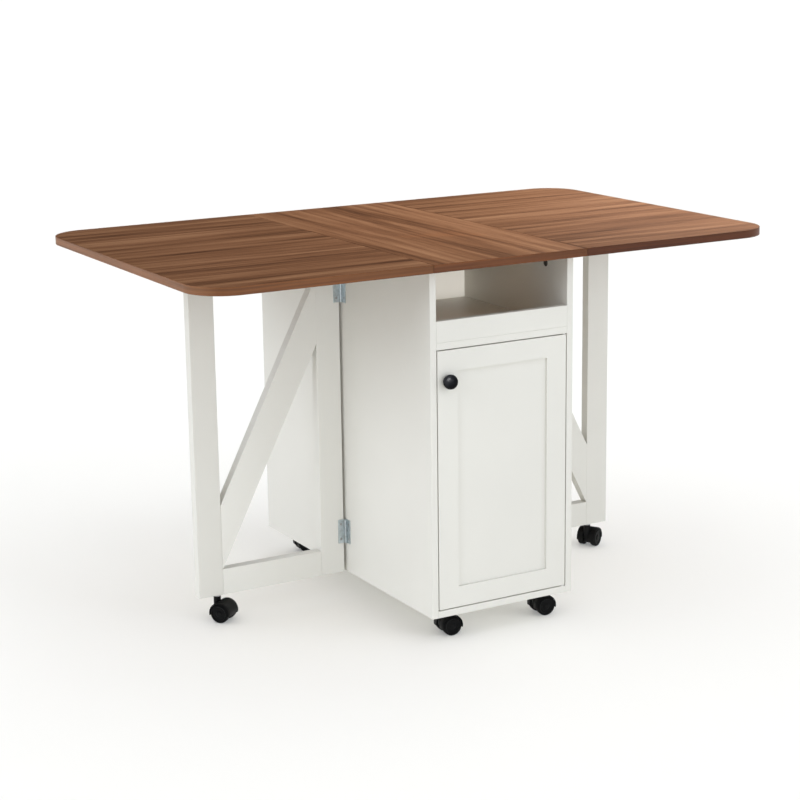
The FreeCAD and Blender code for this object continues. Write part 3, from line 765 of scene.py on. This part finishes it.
def flowing(knots: Sequence[Pair], share: int) -> np.ndarray:
    """Smooth line through knots, a Catmull-Rom curve.

    Between knots b and c, with neighbours a and d, the point at t is
    b + t (c - a) / 2 + t^2 (2a - 5b + 4c - d) / 2 + t^3 (3b - a - 3c + d) / 2.

    Args:
        knots: Rows of radius and height in millimetres.
        share: Points between two knots.

    Returns:
        Rows along the line in metres, with the knots among them.
    """
    k = np.asarray(knots, float)
    k = np.concatenate([2 * k[:1] - k[1:2], k, 2 * k[-1:] - k[-2:-1]])
    a, b, c, d = (k[i : len(k) - 3 + i, None, :] for i in range(4))
    t = np.linspace(0.0, 1.0, share, endpoint=False)[None, :, None]
    line = b + t * (c - a) / 2 + t**2 * (2 * a - 5 * b + 4 * c - d) / 2 + t**3 * (3 * b - a - 3 * c + d) / 2
    return np.concatenate([line.reshape(-1, 2), k[-2:-1]]) * MM


def straight(knots: Sequence[Pair], share: int = 2) -> np.ndarray:
    """Straight runs between knots, each run divided evenly.

    Args:
        knots: Rows of radius and height in millimetres.
        share: Points on each run.

    Returns:
        Rows along the runs in metres.
    """
    k = np.asarray(knots, float)
    t = np.linspace(0.0, 1.0, share, endpoint=False)[None, :, None]
    line = k[:-1, None, :] + t * (k[1:, None, :] - k[:-1, None, :])
    return np.concatenate([line.reshape(-1, 2), k[-1:]]) * MM


def faced(side: Sequence[Pair], rows: int) -> np.ndarray:
    """Profile of straight runs up to the rim of a flat face, and of rows across it to the axis."""
    return np.concatenate([straight(side)[:-1], straight((side[-1], (0.0, side[-1][1])), rows)])


def rod(radius: float, low: float, high: float, steps: int) -> Surface:
    """Plain rod about the own Z axis, a turned rectangle with its sizes in millimetres."""
    return turned(straight(((0.0, low), (radius, low), (radius, high), (0.0, high)), ROD_ROWS), steps)


@dataclass(frozen=True)
class DriverSlot:
    """Cross slot for a driver: its arms' length and half width and its depth, in millimetres."""

    arm: float
    width: float
    depth: float

    def depth_at(self, x: np.ndarray, y: np.ndarray) -> np.ndarray:
        """Depth of the slot: depth * exp(-(d / width)^4) * exp(-(r / arm)^8).

        Here d is the nearer of |x| and |y|, and r is the distance from the middle.

        Args:
            x: Places along one arm, in metres.
            y: Places along the other arm, in metres.

        Returns:
            The depth at the places, in metres.
        """
        near = np.minimum(np.abs(x), np.abs(y)) / (self.width * MM)
        out = np.hypot(x, y) / (self.arm * MM)
        return self.depth * MM * np.exp(-(near**4)) * np.exp(-(out**8))


def facing(along: Sequence[float]) -> np.ndarray:
    """Right-handed axes whose Z points along a world direction.

    Args:
        along: A unit direction.

    Returns:
        Rows with the world directions of X, Y and Z.
    """
    z = np.asarray(along, float)
    x = np.cross((0.0, 0.0, 1.0) if abs(z[2]) < UPRIGHT_SHARE else (0.0, 1.0, 0.0), z)
    x /= np.linalg.norm(x)
    return np.stack([x, np.cross(z, x), z])


@dataclass
class TableTop:
    """Three walnut boards, the leaf grain along the table and the centre grain across it."""

    boards: tuple[str, ...] = BOARDS

    def dress(self, finishes: Finishes) -> None:
        """Lay the veneer on the boards.

        Args:
            finishes: All finishes.
        """
        veneers = (finishes.leaf_left, finishes.centre, finishes.leaf_right)
        for board, veneer in zip(self.boards, veneers):
            dress(board, veneer)


@dataclass
class Carcass:
    """White cabinet panels with their shelf, cams, dowels, caster stems and pivot bushes.

    A cam lies in a side panel with its face at cam_face, and pulls on an upright bolt at bolt_x.
    """

    panels: tuple[str, ...] = (
        "side_panel_left", "side_panel_right", "base_panel", "niche_floor",
        "mid_partition", "lip_rail", "rear_shelf", "cabinet_shelf",
    )
    cam_face: float = 150.0
    cam_spread: float = 289.0
    cam_height: float = 723.0
    cam_radius: float = 7.5
    cam_depth: float = 11.0
    back_chamfer: float = 0.4
    face_chamfer: float = 0.5
    cam_slot: DriverSlot = DriverSlot(4.6, 0.75, 1.6)
    cam_rows: int = 18
    cam_steps: int = 72
    bolt_radius: float = 3.0
    bolt_x: float = 157.0
    bolt_span: Pair = (730.5, 760.0)
    bolt_steps: int = 24

    def dress(self, finishes: Finishes) -> None:
        """Paint the panels and finish the fittings.

        Args:
            finishes: All finishes.
        """
        for panel in self.panels:
            dress(panel, finishes.lacquer)
        dress("carcass_dowels", finishes.beech)
        dress("shelf_pins", finishes.steel)
        dress("caster_stems", finishes.steel)
        dress("door_pivot_bushes", finishes.nylon)
        dress("door_catch", finishes.nylon)

    def cam(self) -> Surface:
        """Cam with its driver slot, its face up.

        Returns:
            The cam.
        """
        rim, top = self.cam_radius, self.cam_depth
        side = (
            (0.0, 0.0),
            (rim - self.back_chamfer, 0.0),
            (rim, self.back_chamfer),
            (rim, top - self.face_chamfer),
            (rim - self.face_chamfer, top),
        )
        return turned(faced(side, self.cam_rows), self.cam_steps, self.cam_slot.depth_at)

    def build(self, finishes: Finishes) -> None:
        """Make the cams with their driver slots, and the bolts that they pull on.

        Args:
            finishes: All finishes.
        """
        cam = self.cam()
        bolt = rod(self.bolt_radius, *self.bolt_span, self.bolt_steps)
        made: list[Surface] = []
        for side in Side:
            for depth in (-self.cam_spread, self.cam_spread):
                back = (self.cam_face + self.cam_depth) * side.value
                axes = facing((-side.value, 0.0, 0.0))
                made.append(cam.placed(axes, np.array((back, depth, self.cam_height)) * MM))
                made.append(bolt.placed(np.eye(3), np.array((self.bolt_x * side.value, depth, 0.0)) * MM))
        piece = Surface.joined(made).piece("cam_locks", "cabinet", "cam_dark", finishes.cam)
        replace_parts(piece, "cam_fittings")


@dataclass
class CupboardDoor:
    """Inset door with a turned black knob, whose outline runs from its foot at knob_spot to its crown."""

    knob_spot: Triple = (-125.5, -366.0, 531.0)
    knob_rows: int = 6
    knob_steps: int = 64
    outline: Outline = (
        (10.6, 0.0), (10.7, 1.2), (9.7, 2.2), (9.4, 2.9), (10.6, 3.8), (12.6, 4.9),
        (14.0, 7.2), (14.6, 10.8), (14.1, 14.4), (12.7, 17.6), (10.5, 20.2), (7.5, 22.3),
        (4.0, 23.6), (0.0, 24.0),
    )
    screw_start: float = -350.0
    screw_length: float = 30.0
    screw_radius: float = 2.0
    screw_head: Outline = ((4.0, 0.0), (4.0, 1.6), (3.6, 2.3), (3.0, 2.5))
    screw_slot: DriverSlot = DriverSlot(2.3, 0.42, 1.3)
    screw_rows: int = 12
    screw_steps: int = 48

    def dress(self, finishes: Finishes) -> None:
        """Paint the door and finish its fittings.

        Args:
            finishes: All finishes.
        """
        dress("door", finishes.lacquer)
        dress("door_pivot_pins", finishes.steel)
        dress("door_strike", finishes.zinc)

    def screw(self) -> Surface:
        """Knob screw, its shank below the origin and its head above.

        Returns:
            The screw.
        """
        radius, length = self.screw_radius, self.screw_length
        side = ((0.0, -length), (radius, -length), (radius, 0.0), *self.screw_head)
        return turned(faced(side, self.screw_rows), self.screw_steps, self.screw_slot.depth_at)

    def build(self, finishes: Finishes) -> None:
        """Turn the knob and the screw that holds it.

        Args:
            finishes: All finishes.
        """
        profile = np.concatenate([np.zeros((1, 2)), flowing(self.outline, self.knob_rows)])
        spot = np.array(self.knob_spot) * MM
        knob = turned(profile, self.knob_steps).placed(facing((0.0, -1.0, 0.0)), spot)
        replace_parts(knob.piece("turned_knob", "door_body", "knob_black", finishes.knob), "knob")
        back = np.array((self.knob_spot[0], self.screw_start, self.knob_spot[2])) * MM
        screw = self.screw().placed(facing((0.0, 1.0, 0.0)), back)
        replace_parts(screw.piece("knob_bolt", "door_body", "bright_steel", finishes.steel), "knob_screw")


@dataclass
class GateLeg:
    """One swing-out gate with its painted members."""

    side: Side
    members: tuple[str, ...] = ("inner_post", "outer_post", "bottom_rail", "top_rail", "brace")

    def dress(self, finishes: Finishes) -> None:
        """Paint the members and finish the fittings.

        Args:
            finishes: All finishes.
        """
        gate = f"gate_{self.side.word}"
        for member in self.members:
            dress(f"{gate}_{member}", finishes.lacquer)
        dress(f"{gate}_hinge_plates", finishes.zinc)
        dress(f"{gate}_dowels", finishes.beech)
        dress(f"{gate}_caster_stem", finishes.steel)


@dataclass
class ButtHinges:
    """Plates, pins and cross-slot screws of all hinges.

    Each plate has two screws, half_spread from its middle and reach from the pin. Gate hinges lie on
    the side_face of the cabinet and the gate_face of a gate; the leaf hinges' lower face is at under.
    """

    side_face: float = 164.0
    gate_face: float = -11.0
    gate_heights: Pair = (144.5, 659.0)
    leaf_depths: Pair = (-225.0, 225.0)
    under: float = 749.0
    plate: float = 1.5
    reach: float = 10.0
    half_spread: float = 16.0
    head_radius: float = 2.8
    shank_radius: float = 1.4
    shank: float = 10.0
    tip_radius: float = 0.5
    tip_length: float = 3.0
    slot: DriverSlot = DriverSlot(1.9, 0.34, 0.9)
    screw_rows: int = 14
    screw_steps: int = 48

    def dress(self, finishes: Finishes) -> None:
        """Plate the hinges.

        Args:
            finishes: All finishes.
        """
        dress("gate_hinge_fixed_plates", finishes.zinc)
        dress("leaf_hinge_fixed_plates", finishes.zinc)
        for side in Side:
            dress(f"leaf_hinge_plates_{side.word}", finishes.zinc)
        dress("hinge_pins", finishes.steel)

    def screw(self) -> Surface:
        """Countersunk screw, its head face up at the origin.

        The profile is turned with its tip lifted by the shank's length, because the slot is cut where
        the height is near its largest, and is then lowered again.

        Returns:
            The screw.
        """
        tip = -self.plate - self.shank
        side = (
            (0.0, tip),
            (self.tip_radius, tip),
            (self.shank_radius, tip + self.tip_length),
            (self.shank_radius, -self.plate),
            (self.head_radius, 0.0),
        )
        profile = faced(side, self.screw_rows)
        profile[:, 1] += self.shank * MM
        made = turned(profile, self.screw_steps, self.slot.depth_at)
        return made.placed(np.eye(3), (0.0, 0.0, -self.shank * MM))

    def build(self, finishes: Finishes) -> None:
        """Drive the screws into every plate.

        Args:
            finishes: All finishes.
        """
        screw = self.screw()
        spread = (-self.half_spread, self.half_spread)
        fixed: list[Surface] = []
        for side in Side:
            sign = side.value
            swing = np.array(hinge_of(f"{side.word}_gate_swing")["pos_m"]) / MM
            seam = abs(hinge_of(f"{side.word}_leaf_lift")["pos_m"][0]) / MM
            gate: list[Surface] = []
            leaf: list[Surface] = []
            for height in (middle + step for middle in self.gate_heights for step in spread):
                spot = ((self.side_face + self.plate) * sign, swing[1] - self.reach, height)
                fixed.append(screw.placed(facing((sign, 0.0, 0.0)), np.array(spot) * MM))
                spot = (swing[0] + self.reach * sign, self.gate_face - self.plate, height)
                gate.append(screw.placed(facing((0.0, -1.0, 0.0)), np.array(spot) * MM))
            for depth in (middle + step for middle in self.leaf_depths for step in spread):
                spot = ((seam - self.reach) * sign, depth, self.under)
                fixed.append(screw.placed(facing((0.0, 0.0, -1.0)), np.array(spot) * MM))
                spot = ((seam + self.reach) * sign, depth, self.under)
                leaf.append(screw.placed(facing((0.0, 0.0, -1.0)), np.array(spot) * MM))
            for made, name, body, node in (
                (gate, f"gate_bolts_{side.word}", f"{side.word}_gate", f"gate_{side.word}_screws"),
                (leaf, f"leaf_bolts_{side.word}", f"{side.word}_leaf", f"leaf_screws_{side.word}"),
            ):
                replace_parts(Surface.joined(made).piece(name, body, "bright_steel", finishes.steel), node)
        piece = Surface.joined(fixed).piece("fixed_bolts", "cabinet", "bright_steel", finishes.steel)
        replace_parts(piece, "cabinet_screws")


@dataclass
class TwinCaster:
    """Twin-wheel caster: black hood with a fender on a steel stem, two dished wheels on one axle.

    The rim is a wheel's radius and height from its inner face outward. The cheek and the web are
    sections of height along the axle and radius about it, and cover is the cheeks' arc in degrees.
    """

    place: str
    wheel_start: float = 8.0
    wheel_rows: int = 3
    wheel_steps: int = 72
    axle_radius: float = 2.5
    axle_steps: int = 32
    rim: Outline = (
        (0.0, 0.0), (6.0, 0.0), (16.2, 0.0), (17.6, 0.25), (19.0, 1.1), (19.8, 2.5),
        (20.0, 4.2), (20.0, 9.8), (19.8, 11.5), (19.0, 12.9), (17.6, 13.75), (16.2, 14.0),
        (15.2, 13.9), (14.6, 13.3), (14.2, 12.6), (12.0, 12.4), (7.4, 12.4), (6.6, 12.7),
        (6.0, 13.3), (5.0, 13.8), (2.5, 13.98), (0.0, 14.0),
    )
    cheek: Outline = (
        (6.9, 20.6), (20.6, 20.8), (21.3, 21.1), (21.5, 21.7), (21.3, 22.3), (20.5, 22.7),
        (14.0, 22.95), (6.9, 23.05),
    )
    web: Outline = ((-7.4, 14.5), (7.4, 14.5), (7.4, 23.0), (-7.4, 23.0))
    cover: Pair = (-12.0, 192.0)
    web_end: float = 108.0
    cheek_steps: int = 61
    web_steps: int = 37

    def dress(self, finishes: Finishes) -> None:
        """Finish the hood."""
        dress(f"caster_hood_{self.place}", finishes.hood)

    def build(self, finishes: Finishes) -> None:
        """Turn both wheels and the axle between them, and arch the fender over them.

        Args:
            finishes: All finishes.
        """
        roll = hinge_of(f"wheels_{self.place}_roll")
        axle, middle = np.array(roll["axis"], float), np.array(roll["pos_m"], float)
        wheel = turned(straight(self.rim, self.wheel_rows), self.wheel_steps)
        shaft = rod(self.axle_radius, -self.wheel_start, self.wheel_start, self.axle_steps)
        out = self.wheel_start * MM
        made = [wheel.placed(facing(way), middle + way * out) for way in (axle, -axle)]
        made.append(shaft.placed(facing(axle), middle))
        body = f"wheels_{self.place}"
        piece = Surface.joined(made).piece(f"twin_wheels_{self.place}", body, "wheel_black", finishes.tread)
        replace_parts(piece, f"caster_wheels_{self.place}")
        self.build_fender(middle, finishes)

    def build_fender(self, middle: np.ndarray, finishes: Finishes) -> None:
        """Arch a cheek over each wheel, and a web between them on the trailing side.

        Args:
            middle: Middle of the axle.
            finishes: All finishes.
        """
        swivel = np.array(hinge_of(f"swivel_{self.place}_turn")["pos_m"], float)
        trail, up = (middle - swivel) * (1.0, 1.0, 0.0), np.array((0.0, 0.0, 1.0))
        trail /= np.linalg.norm(trail)
        axes = np.stack([trail, up, np.cross(trail, up)])
        cheek, web = np.array(self.cheek) * MM, np.array(self.web) * MM
        other = cheek[::-1] * (-1.0, 1.0)
        first, last, end = (math.radians(turn) for turn in (*self.cover, self.web_end))
        parts = [arched(each, first, last, self.cheek_steps) for each in (cheek, other)]
        parts.append(arched(web, first, end, self.web_steps))
        shape = Surface.joined(parts).placed(axes, middle)
        shape.piece(f"caster_fender_{self.place}", f"swivel_{self.place}", "caster_black", finishes.hood)


class LampKind(Enum):
    """Distant lamps have their width in degrees, near ones in metres."""

    DISTANT = "SUN"
    NEAR = "AREA"


@dataclass(frozen=True)
class Lamp:
    """One soft lamp, which may light only some of the solids."""

    name: str
    kind: LampKind
    spot: Triple
    aim: Triple
    power: float
    width: float
    colour: Colour = (1.0, 1.0, 1.0)
    sheen: bool = False
    reach: tuple[str, ...] = ()
    spared: tuple[str, ...] = ()
    shadow: bool = True

    def hang(self) -> None:
        """Hang the lamp and point it at its aim."""
        light = bpy.data.lights.new(self.name, self.kind.value)
        light.energy = self.power
        light.color = self.colour
        light.use_shadow = self.shadow
        if self.kind is LampKind.DISTANT:
            light.angle = math.radians(self.width)
        else:
            light.size = self.width
        lamp = linked(self.name, light)
        way = np.asarray(self.spot, float) - np.asarray(self.aim, float)
        axes = facing(way / np.linalg.norm(way))
        lamp.matrix_world = Matrix.Translation(self.spot) @ Matrix(axes.T.tolist()).to_4x4()
        lamp.visible_glossy = self.sheen
        if self.reach or self.spared:
            self.limit(lamp)

    def limit(self, lamp: bpy.types.Object) -> None:
        """Let the lamp light only what is in its reach, or everything but what is spared.

        Args:
            lamp: The lamp's object.
        """
        group = bpy.data.collections.new(f"{self.name}_reach")
        for name in self.reach + self.spared:
            group.objects.link(frame["nodes"].get(name) or bpy.data.objects[name])
        for tie in group.collection_objects:
            tie.light_linking.link_state = "EXCLUDE" if self.spared else "INCLUDE"
        lamp.light_linking.receiver_collection = group


FAR, NEAR = LampKind.DISTANT, LampKind.NEAR
MIDDLE = (0.0, 0.0, 0.4)
FRONT = (-0.345, -4.94, 1.096)
KNOB = (-0.12, -0.39, 0.53)
COOL = (0.94, 1.0, 1.12)
PALE = (0.97, 1.0, 1.07)
WARM = (0.97, 0.95, 0.94)
TAN = (1.0, 0.62, 0.28)
FLOOR = ("studio_floor",)
GATE = ("gate_left_inner_post", "gate_left_brace", "gate_left_bottom_rail")
LAMPS = (
    Lamp("top_lamp", FAR, (0.0, -0.3, 5.4), MIDDLE, 0.36, 70.0, COOL),
    Lamp("front_lamp", FAR, FRONT, MIDDLE, 0.26, 14.0, COOL),
    Lamp("left_lamp", FAR, (-4.507, -0.474, 2.513), MIDDLE, 1.30, 40.0, COOL, spared=FLOOR),
    Lamp("floor_lamp", FAR, (0.0, 0.0, 5.4), MIDDLE, 0.62, 5.0, COOL, reach=FLOOR, shadow=False),
    Lamp("right_lamp", FAR, (3.118, -3.716, 1.61), MIDDLE, 0.80, 40.0, COOL),
    Lamp("niche_lamp", FAR, FRONT, MIDDLE, 2.2, 8.0, WARM, reach=("mid_partition",)),
    Lamp("bounce_lamp", NEAR, (0.0, -0.16, 0.742), (0.03, -0.10, 0.6), 0.04, 0.2, TAN),
    Lamp("leaf_lamp", NEAR, (1.4, -0.10, 1.615), (0.6, -0.1, 0.76), 38.0, 0.8, PALE, reach=BOARDS),
    Lamp("side_lamp", NEAR, (2.3, 1.7, 1.9), (0.45, 0.0, 0.76), 2.2, 1.3, sheen=True),
    Lamp("gloss_lamp", NEAR, (-2.2, -1.4, 3.2), KNOB, 1900.0, 2.6, sheen=True, reach=("turned_knob",)),
    Lamp("gate_lamp", FAR, (-1.6, -4.6, 0.9), MIDDLE, 0.45, 20.0, COOL, reach=GATE),
    Lamp("back_lamp", FAR, (1.0, 4.6, 2.4), MIDDLE, 0.60, 40.0, COOL, spared=FLOOR + BOARDS),
)


@dataclass
class Studio:
    """Pale floor and backdrop, soft lamps and the viewpoint.

    The focal length is in pixels of a picture that is frame_px wide, and the turns are in degrees.
    """

    focal_px: float = 1966.6
    frame_px: float = 800.0
    sensor: float = 36.0
    sight: float = 400.0
    eye: Triple = (-2.0139, -3.5102, 1.3809)
    yaw: float = 29.555
    pitch: float = -13.585
    roll: float = -0.794
    floor_reach: float = 60.0
    dome_share: float = 0.98
    dome_foot: float = 1.0
    dome_rows: int = 25
    dome_steps: int = 64
    room_light: float = 0.75
    room_tint: Colour = (0.970, 0.985, 1.016)
    backdrop_light: float = 0.99
    lamps: tuple[Lamp, ...] = LAMPS

    def build_floor(self) -> None:
        """Lay one wide pale floor."""
        square = np.array([(-1.0, -1.0, 0.0), (1.0, -1.0, 0.0), (1.0, 1.0, 0.0), (-1.0, 1.0, 0.0)])
        shape = Surface(self.floor_reach * square, np.arange(4)[None], np.empty((0, 3), int))
        floor = linked("studio_floor", shape.mesh("studio_floor", PaleFloor("pale_floor").material()))

    def build_backdrop(self) -> None:
        """Close the view above the floor with a pale dome that only the camera sees.

        The dome is a quarter circle turned about the upright axis, with radius R cos a and height R sin a.
        """
        reach = self.dome_share * self.floor_reach
        rise = np.linspace(0.0, math.pi / 2, self.dome_rows)
        arc = reach * np.stack([np.cos(rise), np.sin(rise)], 1)
        arc[-1, 0] = 0.0
        foot = ((0.0, -self.dome_foot), (reach, -self.dome_foot))
        shape = turned(np.concatenate([foot, arc]), self.dome_steps)
        finish = PaleBackdrop("pale_backdrop", self.backdrop_light).material()
        dome = linked("studio_backdrop", shape.mesh("studio_backdrop", finish))
        dome.visible_diffuse = dome.visible_glossy = dome.visible_shadow = False

    def build_light(self) -> None:
        """Light the room evenly and hang the lamps."""
        world = bpy.data.worlds.new("soft_room")
        world.use_nodes = True
        backdrop = world.node_tree.nodes["Background"]
        backdrop.inputs["Color"].default_value = (*self.room_tint, 1.0)
        backdrop.inputs["Strength"].default_value = self.room_light
        bpy.context.scene.world = world
        world.cycles_visibility.glossy = False
        for lamp in self.lamps:
            lamp.hang()

    def build_camera(self) -> None:
        """Set the camera at the photograph's viewing angle."""
        yaw, pitch, roll = (math.radians(part) for part in (self.yaw, self.pitch, self.roll))
        level = np.array((math.cos(yaw), -math.sin(yaw), 0.0))
        course = np.array((math.sin(yaw), math.cos(yaw), 0.0))
        ahead = math.cos(pitch) * course + np.array((0.0, 0.0, math.sin(pitch)))
        over = np.cross(level, ahead)
        right = math.cos(roll) * level + math.sin(roll) * over
        up = -math.sin(roll) * level + math.cos(roll) * over
        data = bpy.data.cameras.new("viewpoint")
        data.sensor_fit = "HORIZONTAL"
        data.sensor_width = self.sensor
        data.lens = self.sensor * self.focal_px / self.frame_px
        data.clip_end = self.sight
        camera = linked("viewpoint", data)
        turn = Matrix(np.stack([right, up, -ahead], 1).tolist()).to_4x4()
        camera.matrix_world = Matrix.Translation(self.eye) @ turn
        bpy.context.scene.camera = camera

    def build(self) -> None:
        """Set up floor, light, camera and plain colour handling."""
        bpy.context.scene.view_settings.view_transform = "Standard"
        bpy.context.scene.view_settings.look = "None"
        self.build_floor()
        self.build_backdrop()
        self.build_light()
        self.build_camera()


def main() -> None:
    """Dress the table, build its detailed pieces and set the studio."""
    logging.basicConfig(level=logging.INFO, format="%(name)s: %(message)s")
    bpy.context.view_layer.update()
    finishes = Finishes()
    TableTop().dress(finishes)
    for side in Side:
        GateLeg(side).dress(finishes)
    places = ("front_left", "front_right", "rear_left", "rear_right", "gate_left", "gate_right")
    casters = tuple(TwinCaster(place) for place in places)
    for group in (Carcass(), CupboardDoor(), ButtHinges(), *casters):
        group.dress(finishes)
        group.build(finishes)
    Studio().build()
    log.info("sizes noted")


if __name__ == "__main__":
    main()
